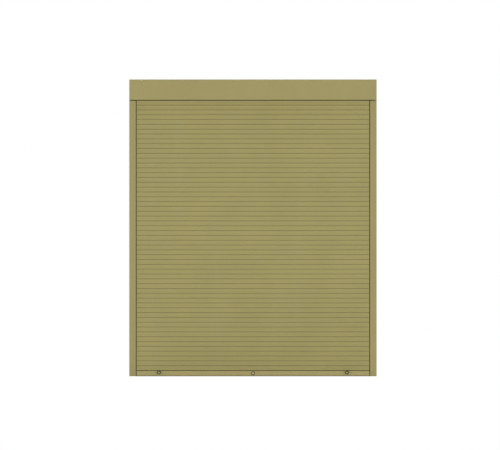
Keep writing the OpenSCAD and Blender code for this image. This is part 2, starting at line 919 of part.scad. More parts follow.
module winding_tube() {
  color("#9fa3a6")
    at_drum()
      difference() {
        octagon(-tube_x, tube_x, tube_af);
        octagon(-tube_x - cut, tube_x + cut, tube_af - 2 * tube_t);
        for (i = [0:strap_n - 1])
          translate([(i + 0.5 - strap_n / 2) * strap_step, tube_af / 2, strap_in])
            cube([strap_w + 2 * strap_side, 3 * tube_t, strap_t + 2 * strap_play], center = true);
      }
}
module tube_plug(bore) {
  difference() {
    union() {
      octagon(-tube_x - plug_flange, -tube_x, tube_af + 2 * plug_rim);
      octagon(-tube_x - weld, -tube_x + plug_l, plug_af);
    }
    round_x(-tube_x - plug_flange - cut, -tube_x + plug_l + cut, bore);
    for (a = [0:90:270])
      rotate([a, 0, 0])
        translate([-tube_x + plug_web, 0, pocket_ring])
          round_x(0, plug_l, pocket_r);
  }
}
module left_tube_plug() {
  color("#3c3c3e")
    at_drum()
      tube_plug(pin_d / 2 + press);
}
module right_tube_plug() {
  color("#3c3c3e")
    at_drum()
      mirror([1, 0, 0])
        tube_plug(shaft_d / 2 + run_fit);
}
module tube_pin() {
  color("#8c8d8f")
    at_drum()
      round_x(bearing_x - bearing_gap / 2, -tube_x + plug_l, pin_d / 2);
}

// Spring balance

module fixed_shaft() {
  color("#8c8d8f")
    at_drum()
      union() {
        round_x(shaft_in, shaft_out - weld, shaft_d / 2);
        translate([shaft_out - 2 * weld, -shaft_sq / 2, -shaft_sq / 2])
          cube([inner_x - shaft_out + 2 * weld, shaft_sq, shaft_sq]);
      }
}
// driven hub, with a groove that clears the strap ends
module spring_hub() {
  h = 2 * strap_play;
  color("#3c3c3e")
    at_drum()
      difference() {
        union() {
          octagon(hub_x, coil_x0, plug_af);
          round_x(coil_x0 - weld, coil_x0 + seat_l, seat_r);
        }
        round_x(shaft_in, coil_x0 + seat_l + cut, shaft_d / 2 + run_fit);
        translate([shaft_in, tube_af / 2 - strap_tail - strap_room, strap_in - h])
          cube([coil_x0 - shaft_in + cut, strap_tail + strap_room, 2 * h]);
      }
}
module spring_cone() {
  color("#8c8d8f")
    at_drum()
      difference() {
        union() {
          round_x(cone_x - weld, cone_x + cone_l, coil_d / 2 + wire_d);
          round_x(coil_x1, cone_x, seat_r);
        }
        round_x(coil_x1 - cut, cone_x + cone_l + cut, shaft_d / 2 + press);
      }
}
// point j of six on ring i of eight in each turn
coil_a = coil_x0 + wire_d / 2 + coil_end;
coil_b = cone_x - weld - wire_d / 2 - coil_end;
function coil_mid(t) = [
  coil_a + (coil_b - coil_a) * t / coil_n,
  coil_d / 2 * cos(360 * t), coil_d / 2 * sin(360 * t)
];
function coil_pt(t, j) =
  let (c = coil_mid(t))
  let (q = coil_d / 2 + wire_d / 2 * cos(60 * j))
  [c[0] + wire_d / 2 * sin(60 * j), q * cos(360 * t), q * sin(360 * t)];
coil_pts = [for (i = [0:8 * coil_n], j = [0:5]) coil_pt(i / 8, j)];
coil_quads = [
  for (i = [0:8 * coil_n - 1], j = [0:5])
    [6 * i + j, 6 * i + (j + 1) % 6, 6 * i + 6 + (j + 1) % 6, 6 * i + 6 + j]
];
coil_last = 48 * coil_n;
coil_gap = min([
  for (i = [0:8], j = [6:10], k = [0:5], m = [0:5])
    norm(coil_pt(i / 8, k) - coil_pt(i / 8 + j / 8, m))
]);
echo(coil_gap = coil_gap);
module torsion_spring() {
  color("#55565a")
    at_drum()
      polyhedron(
        points = coil_pts,
        faces = concat(
          [for (q = coil_quads) [q[0], q[1], q[2]]],
          [for (q = coil_quads) [q[0], q[2], q[3]]],
          [[5, 4, 3, 2, 1, 0]],
          [[for (j = [0:5]) coil_last + j]]
        )
      );
}

// Hangers

module hanger_straps() {
  y0 = tube_af / 2 + drum_y + plug_fit + strap_t / 2;
  z0 = top_z + slat_pitch;
  y1 = tip_r + hook_play + strap_t / 2;
  y2 = lip_y + strap_t / 2;
  over = z0 + hook_top + strap_over;
  path = [
    [y0 - tube_t - strap_tail, strap_z], [y0, strap_z], [y0, drum_z - strap_off],
    [neck_y - strap_lead, over + strap_fall], [y1, over],
    [y1, z0 + strap_turn], [y2, z0 + strap_turn], [y2, z0 + lip_h]
  ];
  color("#70726f")
    for (i = [0:strap_n - 1])
      translate([(i + 0.5 - strap_n / 2) * strap_step, 0, 0])
        along(-strap_w / 2, strap_w / 2)
          polygon(strip(path, strap_t));
}

// Slats

function bow(z) = slat_bow * (1 - pow(2 * z / face_h - 1, 2));
// upper hook over a joint line at height z, standing on a body that ends at height r
function hook(r, z) = [
  [neck_y, r], [neck_y, z + hook_top], [tip_r, z + hook_top],
  [tip_r, z + hook_low - tip_drop], [tip_y, z + hook_low - tip_drop],
  [tip_y, z + hook_low], [neck_r, z + hook_low], [neck_r, r]
];
module slat_shape() {
  e = slat_edge;
  h = face_h;
  s = slat_rear - skin;
  n = 6;
  face = [for (i = [0:n]) e + (h - 2 * e) * i / n];
  room = [for (i = [0:n]) pocket_h + skin + (h - pocket_h - skin - e) * i / n];
  difference() {
    polygon(concat(
      [[hem - slat_front, 0], [front_edge - slat_front, 0]],
      [for (z = face) [bow(z) - slat_front, z]],
      [[e - slat_front, h]],
      hook(h, slat_pitch),
      [[slat_rear - e, h]],
      [for (i = [n:-1:0]) [slat_rear + bow(face[i]), face[i]]],
      [[slat_rear - rear_edge, 0], [lip_y, 0], [lip_y, lip_h], [lip_r, lip_h], [lip_r, hook_t]],
      [[s, hook_t], [s + bow(pocket_h), pocket_h], [hem - slat_front + bow(pocket_h), pocket_h]]
    ));
    polygon(concat(
      [for (z = room) [skin - slat_front + bow(z), z]],
      [for (i = [n:-1:0]) [s + bow(room[i]), room[i]]]
    ));
  }
}
module slat() {
  along(-end_x, end_x)
    slat_shape();
}
// run of slats that hang on one another between two joint lines
module slat_band(b) {
  i0 = round(b * slat_count / band_count);
  i1 = round((b + 1) * slat_count / band_count) - 1;
  color("#a09866")
    for (i = [i0:i1])
      translate([0, 0, bar_h + i * slat_pitch])
        slat();
}
module top_slat() {
  color("#a09866")
    translate([0, 0, top_z])
      slat();
}

// Bottom bar

module bar_shape() {
  n = foot_neck / 2;
  g = bar_in;
  e = bar_edge;
  difference() {
    polygon(concat(
      [[-n, bar_low], [e - bar_y, bar_low], [-bar_y, bar_low + e], [-bar_y, bar_top - e]],
      [[e - bar_y, bar_top]],
      hook(bar_top, bar_h),
      [[bar_y - e, bar_top], [bar_y, bar_top - e], [bar_y, bar_low + e]],
      [[bar_y - e, bar_low], [n, bar_low], [n, groove_low], [g, groove_low]],
      [[g, groove_top], [-g, groove_top], [-g, groove_low], [-n, groove_low]]
    ));
    translate([-g, room_low])
      square([2 * g, room_top - room_low]);
  }
}
module bottom_bar() {
  color("#a19867")
    difference() {
      along(-end_x, end_x)
        bar_shape();
      at_lock() {
        round_y(-bar_y - cut, 0, lock_body_d / 2 + run_fit);
        round_y(0, bar_y + cut, lock_shaft_d / 2 + run_fit);
      }
      both_sides()
        translate([stop_x, 0, stop_z])
          round_y(-bar_y - cut, 0, stop_screw_d / 2 + run_fit);
    }
}
module bottom_seal() {
  w = foot_seal_w / 2;
  n = foot_neck / 2 - plug_fit;
  g = bar_in - plug_fit;
  color("#463e24")
    along(-end_x, end_x)
      polygon([
        [-w, 0], [w, 0], [w, bar_low - plug_fit], [n, bar_low - plug_fit],
        [n, groove_low + plug_fit], [g, groove_low + plug_fit],
        [g, groove_top - plug_fit], [-g, groove_top - plug_fit],
        [-g, groove_low + plug_fit], [-n, groove_low + plug_fit],
        [-n, bar_low - plug_fit], [-w, bar_low - plug_fit]
      ]);
}
// the two ways for the lock rods, mirrored about the lock's height
module rod_ways(x0, x1) {
  for (s = [-1, 1])
    translate([x0, rod_y - rod_t / 2 - rod_fit, lock_axis + s * (rod_low + rod_h / 2 - lock_axis)])
      translate([0, 0, -rod_h / 2 - rod_fit])
        cube([x1 - x0, bar_in - rod_y + rod_t / 2 + rod_fit, rod_h + 2 * rod_fit]);
}
module room_block(x0, x1) {
  g = bar_in - plug_fit;
  translate([x0, -g, room_low + plug_fit])
    cube([x1 - x0, 2 * g, room_top - room_low - 2 * plug_fit]);
}
module bar_cap() {
  difference() {
    union() {
      translate([-end_x - bar_cap_t, -bar_y, bar_low])
        cube([bar_cap_t, bar_th, bar_top - bar_low]);
      room_block(-end_x - weld, -end_x + bar_cap_in);
    }
    rod_ways(-end_x - bar_cap_t - cut, -end_x + bar_cap_in + cut);
  }
}
module bar_end_caps() {
  color("#463e24")
    both_sides()
      bar_cap();
}
module rod_guides() {
  color("#d8d6c8")
    both_sides()
      for (k = rod_guide_at)
        difference() {
          room_block(-k * end_x - rod_guide_l / 2, -k * end_x + rod_guide_l / 2);
          rod_ways(-k * end_x - rod_guide_l, -k * end_x + rod_guide_l);
        }
}

// Stoppers

module at_stops() {
  for (s = [-1, 1])
    translate([s * stop_x, 0, stop_z])
      children();
}
stop_tip = -bar_y - stop_l;
stop_head = stop_tip + stop_cap_t + stop_head_gap;
module stopper_buffers() {
  color("#463e24")
    at_stops()
      difference() {
        taper_y(stop_tip, -bar_y, stop_tip_d / 2, stop_d / 2);
        round_y(stop_tip - cut, stop_head + stop_head_h, stop_cap_d / 2 + plug_fit);
        round_y(stop_tip, 0, stop_screw_d / 2 + run_fit);
      }
}
module stopper_caps() {
  color("#aaa06f")
    at_stops()
      taper_y(stop_tip - stop_crown, stop_tip + stop_cap_t, stop_cap_d / 2 - stop_crown, stop_cap_d / 2);
}
module stopper_screws() {
  color("#8c8d8f")
    at_stops() {
      round_y(stop_head + weld, -bar_in + stop_nut_l + end_play, stop_screw_d / 2);
      round_y(stop_head, stop_head + stop_head_h, stop_head_d / 2);
    }
}
// insert nuts behind the front wall of the bar
module stopper_nuts() {
  color("#8c8d8f")
    at_stops()
      difference() {
        round_y(-bar_in, -bar_in + stop_nut_l, stop_screw_d / 2 + stop_nut_t);
        round_y(-bar_in - cut, 0, stop_screw_d / 2 + press);
      }
}

// Lock

lock_front = -bar_y - lock_out;
lock_back = -bar_in + lock_flange_t;
module at_lock() {
  translate([0, 0, lock_axis])
    children();
}
module lock_escutcheon() {
  color("#463e24")
    at_lock()
      difference() {
        taper_y(-bar_y - rose_t, -bar_y, rose_d / 2 - rose_taper, rose_d / 2);
        round_y(-bar_y - rose_t - cut, 0, lock_body_d / 2 + press);
      }
}
module lock_body() {
  r = lock_body_d / 2;
  color("#aaa06f")
    at_lock()
      difference() {
        union() {
          round_y(lock_front, lock_back, r);
          round_y(-bar_in, lock_back, r + lock_flange);
        }
        round_y(lock_front - cut, 0, lock_cyl_d / 2 + run_fit);
      }
}
module lock_cylinder() {
  color("#b5ab7c")
    at_lock()
      difference() {
        union() {
          round_y(lock_front - lock_proud, lock_back, lock_cyl_d / 2);
          round_y(-bar_in, bar_y, lock_shaft_d / 2);
        }
        translate([-key_w / 2, lock_front - cut, -key_h / 2])
          cube([key_w, key_depth + cut, key_h]);
        round_y(lock_front - cut, lock_front + key_bore_depth, key_bore_d / 2);
      }
}
// involute flank: half the tooth's angle at radius r
base_r = pitch_r * cos(flank_a);
root_r = pitch_r - rack_add - tooth_room;
crown_r = pitch_r + tooth_add;
function roll(r) = sqrt(max(pow(r / base_r, 2) - 1, 0));
function flank(r) =
  let (half = 90 / tooth_n - tooth_play / 2 / pitch_r * 180 / PI)
  let (inv = tan(flank_a) * 180 / PI - flank_a)
  half + inv - (roll(r) * 180 / PI - atan(roll(r)));
function polar(r, a) = [r * cos(a), r * sin(a)];
tooth_rs = [root_r, base_r, pitch_r, (pitch_r + crown_r) / 2, crown_r];
module lock_pinion() {
  y0 = rod_y - rod_t / 2 - pinion_proud;
  color("#c8a95a")
    at_lock()
      difference() {
        inward(y0, rod_y + rod_t / 2)
          polygon([
            for (k = [0:tooth_n - 1])
              let (c = 90 + k * 360 / tooth_n)
              each concat(
                [for (r = tooth_rs) polar(r, c - flank(r))],
                [for (r = back(tooth_rs)) polar(r, c + flank(r))]
              )
          ]);
        round_y(y0 - cut, bar_y, lock_shaft_d / 2 + press);
      }
}
// corner of rack tooth k: side s, distance d outside the pitch line
function rack_pt(k, s, d) =
  let (half = tooth_p / 4 - tooth_play / 2)
  [(k + 0.5) * tooth_p + s * (half + d * tan(flank_a)), pitch_r + d];
rack_k0 = -3;
rack_k1 = floor((rod_tail - rack_edge) / tooth_p);
module rod_shape() {
  polygon(concat(
    [[-end_x - bar_cap_t, pitch_r + rack_ded]],
    [
      for (k = [rack_k0:rack_k1])
        each [
          rack_pt(k, -1, rack_ded), rack_pt(k, -1, -rack_add),
          rack_pt(k, 1, -rack_add), rack_pt(k, 1, rack_ded)
        ]
    ],
    [[rod_tail, pitch_r + rack_ded], [rod_tail, pitch_r + rack_ded + rod_h]],
    [[-end_x - bar_cap_t + rod_edge, pitch_r + rack_ded + rod_h]],
    [[-end_x - bar_cap_t, pitch_r + rack_ded + rod_h - rod_edge]]
  ));
}
module lock_rod() {
  inward(rod_y - rod_t / 2, rod_y + rod_t / 2)
    rod_shape();
}
module left_lock_rod() {
  color("#9a9c9e")
    at_lock()
      lock_rod();
}
module right_lock_rod() {
  color("#9a9c9e")
    at_lock()
      rotate([0, 180, 0])
        lock_rod();
}

left_end_cap();
right_end_cap();
rear_shell();
front_cover();
cover_screws();
shell_rivets();
slot_seal();
inlet_funnels();
bearing_holder();
shaft_holder();
holder_screws();
bearing_outer_ring();
bearing_balls();
fixed_shaft();
spring_cone();
torsion_spring();
left_guide();
right_guide();
guide_seals();
guide_foot_plugs();
lock_keepers();
winding_tube();
left_tube_plug();
right_tube_plug();
tube_pin();
bearing_inner_ring();
spring_hub();
hanger_straps();
top_slat();
bottom_bar();
bottom_seal();
bar_end_caps();
rod_guides();
stopper_buffers();
stopper_caps();
stopper_screws();
stopper_nuts();
lock_escutcheon();
lock_body();
lock_cylinder();
lock_pinion();
left_lock_rod();
right_lock_rod();
for (b = [0:band_count - 1])
  slat_band(b);
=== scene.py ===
import math

import bmesh
import bpy
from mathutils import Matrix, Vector


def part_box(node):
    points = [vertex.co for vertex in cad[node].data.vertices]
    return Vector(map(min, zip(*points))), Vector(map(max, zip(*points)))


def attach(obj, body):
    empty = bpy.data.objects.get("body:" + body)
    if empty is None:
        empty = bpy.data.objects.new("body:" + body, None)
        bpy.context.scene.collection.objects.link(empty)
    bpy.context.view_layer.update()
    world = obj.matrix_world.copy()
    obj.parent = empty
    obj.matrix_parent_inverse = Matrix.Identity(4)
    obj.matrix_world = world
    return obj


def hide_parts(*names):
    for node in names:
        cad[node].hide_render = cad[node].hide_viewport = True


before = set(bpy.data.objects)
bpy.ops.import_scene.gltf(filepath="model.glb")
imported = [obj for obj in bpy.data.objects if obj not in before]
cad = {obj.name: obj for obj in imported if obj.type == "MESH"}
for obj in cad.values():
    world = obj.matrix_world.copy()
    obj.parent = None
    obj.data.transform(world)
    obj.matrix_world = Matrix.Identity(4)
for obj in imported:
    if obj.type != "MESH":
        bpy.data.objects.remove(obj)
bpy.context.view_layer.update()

mm = 0.001


# node helpers: settings go to the node itself or to its sockets by name
def addNode(tree, kind, **settings):
    made = tree.nodes.new("ShaderNode" + kind)
    for name, value in settings.items():
        if name in made.inputs.keys():
            made.inputs[name].default_value = value
        else:
            setattr(made, name, value)
    return made


def maths(tree, operation, first, second):
    made = addNode(tree, "Math", operation=operation)
    for socket, value in zip(made.inputs, (first, second)):
        if isinstance(value, (int, float)):
            socket.default_value = value
        else:
            tree.links.new(value, socket)
    return made.outputs[0]


def mixColour(tree, factor, first, second):
    made = addNode(tree, "Mix", data_type="RGBA")
    for socket, value in ((made.inputs[0], factor), (made.inputs[6], first), (made.inputs[7], second)):
        if isinstance(value, (int, float)):
            socket.default_value = value
        elif isinstance(value, tuple):
            socket.default_value = (*value, 1)
        else:
            tree.links.new(value, socket)
    return made.outputs[2]


def noise(tree, place, scale, detail, stretch=None):
    if stretch:
        spread = addNode(tree, "Mapping", Scale=stretch)
        tree.links.new(place, spread.inputs[0])
        place = spread.outputs[0]
    made = addNode(tree, "TexNoise", Scale=scale, Detail=detail)
    tree.links.new(place, made.inputs["Vector"])
    return made.outputs[0]


def between(tree, value, low, high):
    above = maths(tree, "GREATER_THAN", value, low)
    below = maths(tree, "LESS_THAN", value, high)
    return maths(tree, "MULTIPLY", above, below)


def spreadTo(tree, value, low, high, fromLow=0.3, fromHigh=0.7):
    made = addNode(tree, "MapRange")
    made.inputs["From Min"].default_value = fromLow
    made.inputs["From Max"].default_value = fromHigh
    made.inputs["To Min"].default_value = low
    made.inputs["To Max"].default_value = high
    tree.links.new(value, made.inputs[0])
    return made.outputs[0]


def startMaterial(name):
    made = bpy.data.materials.new(name)
    made.use_nodes = True
    tree = made.node_tree
    shader = tree.nodes["Principled BSDF"]
    place = addNode(tree, "TexCoord").outputs["Object"]
    return made, tree, shader, place


# fine relief over edges that are broken by the given radius
def addBump(tree, shader, height, strength, depth, edge):
    made = addNode(tree, "Bump", Strength=strength, Distance=depth)
    tree.links.new(height, made.inputs["Height"])
    tree.links.new(addNode(tree, "Bevel", samples=4, Radius=edge).outputs[0], made.inputs["Normal"])
    tree.links.new(made.outputs[0], shader.inputs["Normal"])


def dress(names, material):
    for name in names:
        piece = cad[name]
        piece.data.materials.clear()
        piece.data.materials.append(material)


# light slots in the hook's neck of every slat, drawn as dashes of painted shade for the dark seen through a
# slot, and not cut
def slotShadeDashes(tree, axes, row):
    along = maths(tree, "FLOORED_MODULO", axes.outputs["X"], row["pitch"])
    rise = maths(tree, "SUBTRACT", axes.outputs["Z"], row["base"])
    up = maths(tree, "FLOORED_MODULO", rise, row["slatPitch"])
    edge = (row["pitch"] - row["length"]) / 2
    across = between(tree, along, edge, row["pitch"] - edge)
    return maths(tree, "MULTIPLY", across, between(tree, up, row["low"], row["high"]))


# powder coat: soft orange peel, faint tone drift, rain streaks, and painted shade darkening the joints and
# crevices from ambient occlusion
def powderCoat(name, look):
    made, tree, shader, place = startMaterial(name)
    tone = noise(tree, place, look["driftScale"], detail=4)
    streak = noise(tree, place, 1.0, detail=5, stretch=look["streak"])
    fine = noise(tree, place, look["grainScale"], detail=2)
    light = tuple(c * (1 + look["drift"]) for c in look["colour"])
    deep = tuple(c * (1 - look["drift"]) for c in look["colour"])
    colour = mixColour(tree, spreadTo(tree, tone, 0, 1), deep, light)
    wash = spreadTo(tree, streak, 0, look["streakShare"], *look["streakFrom"])
    colour = mixColour(tree, wash, colour, look["dust"])
    colour = mixColour(tree, spreadTo(tree, fine, 0, look["grainShare"]), colour, look["dust"])
    # painted shade: the coat goes dark wherever ambient occlusion finds a crevice
    crevice = addNode(tree, "AmbientOcclusion", samples=6, Distance=look["creviceReach"])
    paintedShade = spreadTo(tree, crevice.outputs["AO"], look["creviceShare"], 0, *look["creviceFrom"])
    axes = addNode(tree, "SeparateXYZ")
    tree.links.new(place, axes.inputs[0])
    # painted shade in the slat joints, shaped as light slots
    if "slots" in look:
        paintedShade = maths(tree, "MAXIMUM", paintedShade, slotShadeDashes(tree, axes, look["slots"]))
    if "shadeAboveZ" in look:  # painted shade in the joint over the bar, dark over all of the bar above this height
        barJointShade = maths(tree, "GREATER_THAN", axes.outputs["Z"], look["shadeAboveZ"])
        paintedShade = maths(tree, "MAXIMUM", paintedShade, barJointShade)
    # painted shade from crevices, slot dashes and the bar's joint, mixed in as one dark colour
    colour = mixColour(tree, paintedShade, colour, look["joint"])
    tree.links.new(colour, shader.inputs["Base Color"])
    tree.links.new(spreadTo(tree, tone, *look["rough"]), shader.inputs["Roughness"])
    shader.inputs["Specular IOR Level"].default_value = look["gloss"]
    peel = noise(tree, place, look["peelScale"], detail=2)
    if "drawn" in look:  # faint lines along the way the metal was drawn or rolled
        lines = noise(tree, place, 1.0, detail=3, stretch=look["drawn"])
        peel = maths(tree, "ADD", peel, lines)
    addBump(tree, shader, peel, look["peel"], look["peelDepth"], look["edge"])
    return made


bands = [f"slat_band_{i:02d}" for i in range(1, 15)]
slatsBelowTop = 56
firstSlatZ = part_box(bands[0])[0].z
slatPitch = (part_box("top_slat")[0].z - firstSlatZ) / slatsBelowTop

# the darkest colour here is painted shade for joints and crevices; the crevice settings say how far and how
# strongly it reaches
boxLook = dict(
    colour=(0.351, 0.302, 0.121), dust=(0.40, 0.36, 0.19), joint=(0.03, 0.024, 0.010),
    drift=0.035, driftScale=2.2, streak=(11.0, 3.0, 0.9), streakShare=0.10, streakFrom=(0.45, 0.8),
    grainScale=700.0, grainShare=0.05, creviceReach=9 * mm, creviceShare=0.55, creviceFrom=(0.1, 0.75),
    rough=(0.44, 0.58), gloss=0.2, peelScale=650.0, peel=0.35, peelDepth=0.05 * mm, edge=0.7 * mm,
)
guideLook = dict(boxLook, drawn=(900.0, 900.0, 1.2), driftScale=1.6, streakShare=0.08)
slatLook = dict(
    boxLook, colour=(0.357, 0.313, 0.122), driftScale=3.1, streak=(9.0, 3.0, 0.7), streakShare=0.12,
    drawn=(1.5, 700.0, 700.0), creviceReach=5 * mm, creviceShare=0.9,
    # dashes of painted shade where light slots sit in each slat joint
    slots=dict(
        pitch=18 * mm, length=14.5 * mm, low=37.15 * mm, high=38.9 * mm,
        base=firstSlatZ, slatPitch=slatPitch,
    ),
)
# the bar wears the same paint, given a lighter colour as painted light against the shade it gets near the
# floor
barLook = dict(
    boxLook, colour=(0.428, 0.369, 0.157), drawn=(1.2, 900.0, 900.0), creviceReach=7 * mm,
    # painted shade in the joint over the bar starts at this height
    shadeAboveZ=43.2 * mm,
)
capLook = dict(boxLook, driftScale=5.0, peelScale=420.0, peel=0.5, rough=(0.5, 0.64))


# rubber and moulded plastic: matt, grained, with a bloom that lightens it in patches
def mouldedMaterial(name, look):
    made, tree, shader, place = startMaterial(name)
    bloom = noise(tree, place, look["bloomScale"], detail=4)
    speck = noise(tree, place, look["grainScale"], detail=2)
    colour = mixColour(tree, spreadTo(tree, bloom, 0, 1), look["colour"], look["bloom"])
    flecks = spreadTo(tree, speck, 0, look["speckShare"], *look["speckFrom"])
    colour = mixColour(tree, flecks, colour, look["speck"])
    tree.links.new(colour, shader.inputs["Base Color"])
    tree.links.new(spreadTo(tree, speck, *look["rough"]), shader.inputs["Roughness"])
    shader.inputs["Specular IOR Level"].default_value = look["gloss"]
    addBump(tree, shader, speck, look["grain"], look["grainDepth"], look["edge"])
    return made


rubberLook = dict(
    colour=(0.035, 0.027, 0.010), bloom=(0.050, 0.040, 0.018), speck=(0.09, 0.075, 0.045),
    speckShare=0.35, speckFrom=(0.55, 0.8), bloomScale=14.0, grainScale=1500.0, grain=0.4,
    grainDepth=0.08 * mm, rough=(0.68, 0.85), gloss=0.2, edge=0.4 * mm,
)
darkPlasticLook = dict(rubberLook, grainScale=1100.0, grain=0.3, rough=(0.46, 0.6), gloss=0.3)
blackPlasticLook = dict(
    darkPlasticLook, colour=(0.032, 0.032, 0.034), bloom=(0.045, 0.045, 0.047), speck=(0.09, 0.09, 0.09),
)
whitePlasticLook = dict(
    darkPlasticLook, colour=(0.64, 0.62, 0.54), bloom=(0.70, 0.68, 0.60), speck=(0.5, 0.48, 0.42),
)
capPlasticLook = dict(
    darkPlasticLook, colour=(0.38, 0.335, 0.15), bloom=(0.41, 0.365, 0.175), speck=(0.30, 0.26, 0.12),
)
roseLook = dict(
    darkPlasticLook, colour=(0.050, 0.040, 0.016), bloom=(0.07, 0.056, 0.024), rough=(0.36, 0.5), gloss=0.35,
)


# bare metals: brushed along one way, or the crystal flakes of hot-dip zinc
def metalMaterial(name, look):
    made, tree, shader, place = startMaterial(name)
    if "flake" in look:
        cells = addNode(tree, "TexVoronoi", Scale=look["flake"])
        tree.links.new(place, cells.inputs["Vector"])
        tone = addNode(tree, "SeparateColor")
        tree.links.new(cells.outputs["Color"], tone.inputs[0])
        share = tone.outputs[0]
    else:
        lines = noise(tree, place, 1.0, detail=4, stretch=look["brush"])
        share = spreadTo(tree, lines, 0, 1)
    patches = noise(tree, place, look["stainScale"], detail=5)
    stain = spreadTo(tree, patches, 0, look["stainShare"], *look["stainFrom"])
    colour = mixColour(tree, share, look["deep"], look["light"])
    colour = mixColour(tree, stain, colour, look["stain"])
    tree.links.new(colour, shader.inputs["Base Color"])
    tree.links.new(spreadTo(tree, share, *look["rough"], 0, 1), shader.inputs["Roughness"])
    shader.inputs["Metallic"].default_value = 1.0
    addBump(tree, shader, share, look["bump"], look["bumpDepth"], look["edge"])
    return made


bareLook = dict(stainScale=24.0, stainShare=0.3, stainFrom=(0.52, 0.8), bumpDepth=0.03 * mm)
zincLook = dict(
    bareLook, deep=(0.38, 0.39, 0.40), light=(0.56, 0.57, 0.58), stain=(0.30, 0.30, 0.30), flake=95.0,
    rough=(0.32, 0.5), bump=0.15, edge=0.4 * mm,
)
steelLook = dict(
    bareLook, deep=(0.33, 0.33, 0.34), light=(0.50, 0.50, 0.51), stain=(0.24, 0.23, 0.22),
    brush=(6.0, 900.0, 900.0), rough=(0.28, 0.42), bump=0.2, edge=0.3 * mm,
)
springLook = dict(steelLook, deep=(0.10, 0.10, 0.11), light=(0.20, 0.20, 0.21), rough=(0.35, 0.5))
bearingLook = dict(
    steelLook, deep=(0.55, 0.55, 0.56), light=(0.68, 0.68, 0.69), rough=(0.12, 0.22), bump=0.05,
)
lockLook = dict(
    steelLook, deep=(0.34, 0.29, 0.13), light=(0.44, 0.39, 0.19), stain=(0.24, 0.20, 0.09),
    brush=(900.0, 5.0, 900.0), rough=(0.3, 0.44),
)

boxCoat = powderCoat("boxCoat", boxLook)
guideCoat = powderCoat("guideCoat", guideLook)
slatCoat = powderCoat("slatCoat", slatLook)
barCoat = powderCoat("barCoat", barLook)
capCoat = powderCoat("endCapCoat", capLook)
darkRubber = mouldedMaterial("darkRubber", rubberLook)
darkPlastic = mouldedMaterial("darkPlastic", darkPlasticLook)
blackPlastic = mouldedMaterial("blackPlastic", blackPlasticLook)
whitePlastic = mouldedMaterial("whitePlastic", whitePlasticLook)
capPlastic = mouldedMaterial("stopperCapPlastic", capPlasticLook)
roseMetal = mouldedMaterial("darkRose", roseLook)
zinc = metalMaterial("zincSteel", zincLook)
steel = metalMaterial("drawnSteel", steelLook)
springSteel = metalMaterial("springSteel", springLook)
bearingSteel = metalMaterial("bearingSteel", bearingLook)
lockMetal = metalMaterial("lockMetal", lockLook)

dress(["rear_shell", "front_cover", "shell_rivets"], boxCoat)
dress(["left_end_cap", "right_end_cap"], capCoat)
dress(["left_guide", "right_guide"], guideCoat)
dress(bands + ["top_slat"], slatCoat)
dress(["bottom_bar"], barCoat)
dress(["slot_seal", "guide_seals", "bottom_seal", "stopper_buffers"], darkRubber)
dress(["inlet_funnels", "guide_foot_plugs", "bar_end_caps"], darkPlastic)
dress(["bearing_holder", "left_tube_plug", "right_tube_plug", "spring_hub"], blackPlastic)
dress(["rod_guides"], whitePlastic)
dress(["stopper_caps"], capPlastic)
dress(["lock_escutcheon"], roseMetal)
dress(["winding_tube", "hanger_straps", "lock_keepers", "left_lock_rod", "right_lock_rod"], zinc)
dress(["shaft_holder", "holder_screws", "fixed_shaft", "spring_cone", "tube_pin", "stopper_screws",
       "stopper_nuts", "cover_screws"], steel)
dress(["torsion_spring"], springSteel)
dress(["bearing_outer_ring", "bearing_inner_ring", "bearing_balls"], bearingSteel)
dress(["lock_body", "lock_cylinder", "lock_pinion"], lockMetal)
print("materials on every node")


smoothUnder = math.radians(35)


# one mesh object from a builder that fills a bmesh
def makePiece(name, build, material, body):
    mesh = bpy.data.meshes.new(name)
    work = bmesh.new()
    build(work)
    bmesh.ops.recalc_face_normals(work, faces=work.faces)
    work.to_mesh(mesh)
    work.free()
    for face in mesh.polygons:
        face.use_smooth = True
    mesh.set_sharp_from_angle(angle=smoothUnder)
    mesh.materials.append(material)
    piece = bpy.data.objects.new(name, mesh)
    bpy.context.scene.collection.objects.link(piece)
    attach(piece, body)
    return piece


# closed ring of points turned about an axis towards the wall, profile in (radius, depth)
def turnY(work, profile, centreX, centreZ, steps):
    rings = []
    for radius, depth in profile:
        if radius == 0:
            rings.append([work.verts.new((centreX, depth, centreZ))])
            continue
        rings.append([
            work.verts.new((centreX + radius * math.cos(a), depth, centreZ + radius * math.sin(a)))
            for a in (2 * math.pi * i / steps for i in range(steps))
        ])
    for near, far in zip(rings, rings[1:] + ([rings[0]] if len(rings[-1]) > 1 else [])):
        for i in range(steps):
            j = (i + 1) % steps
            loop = [near[i % len(near)], near[j % len(near)], far[j % len(far)], far[i % len(far)]]
            loop = [v for k, v in enumerate(loop) if v not in loop[:k]]
            if len(loop) > 2:
                work.faces.new(loop)


# straight run of a closed profile, with both ends shut; place turns (a, b, run) into a point
def runOut(work, profile, place, start, end):
    near, far = ([work.verts.new(place(a, b, run)) for a, b in profile] for run in (start, end))
    for i in range(len(profile)):
        j = (i + 1) % len(profile)
        work.faces.new((near[i], near[j], far[j], far[i]))
    work.faces.new(near)
    work.faces.new(far)


def alongX(y, z, x):
    return x, y, z


# points of an arc, from the first angle to the second
def roundOver(centreA, centreB, radius, start, end, count=6):
    angles = [math.radians(start + (end - start) * k / count) for k in range(count + 1)]
    return [(centreA + radius * math.cos(a), centreB + radius * math.sin(a)) for a in angles]


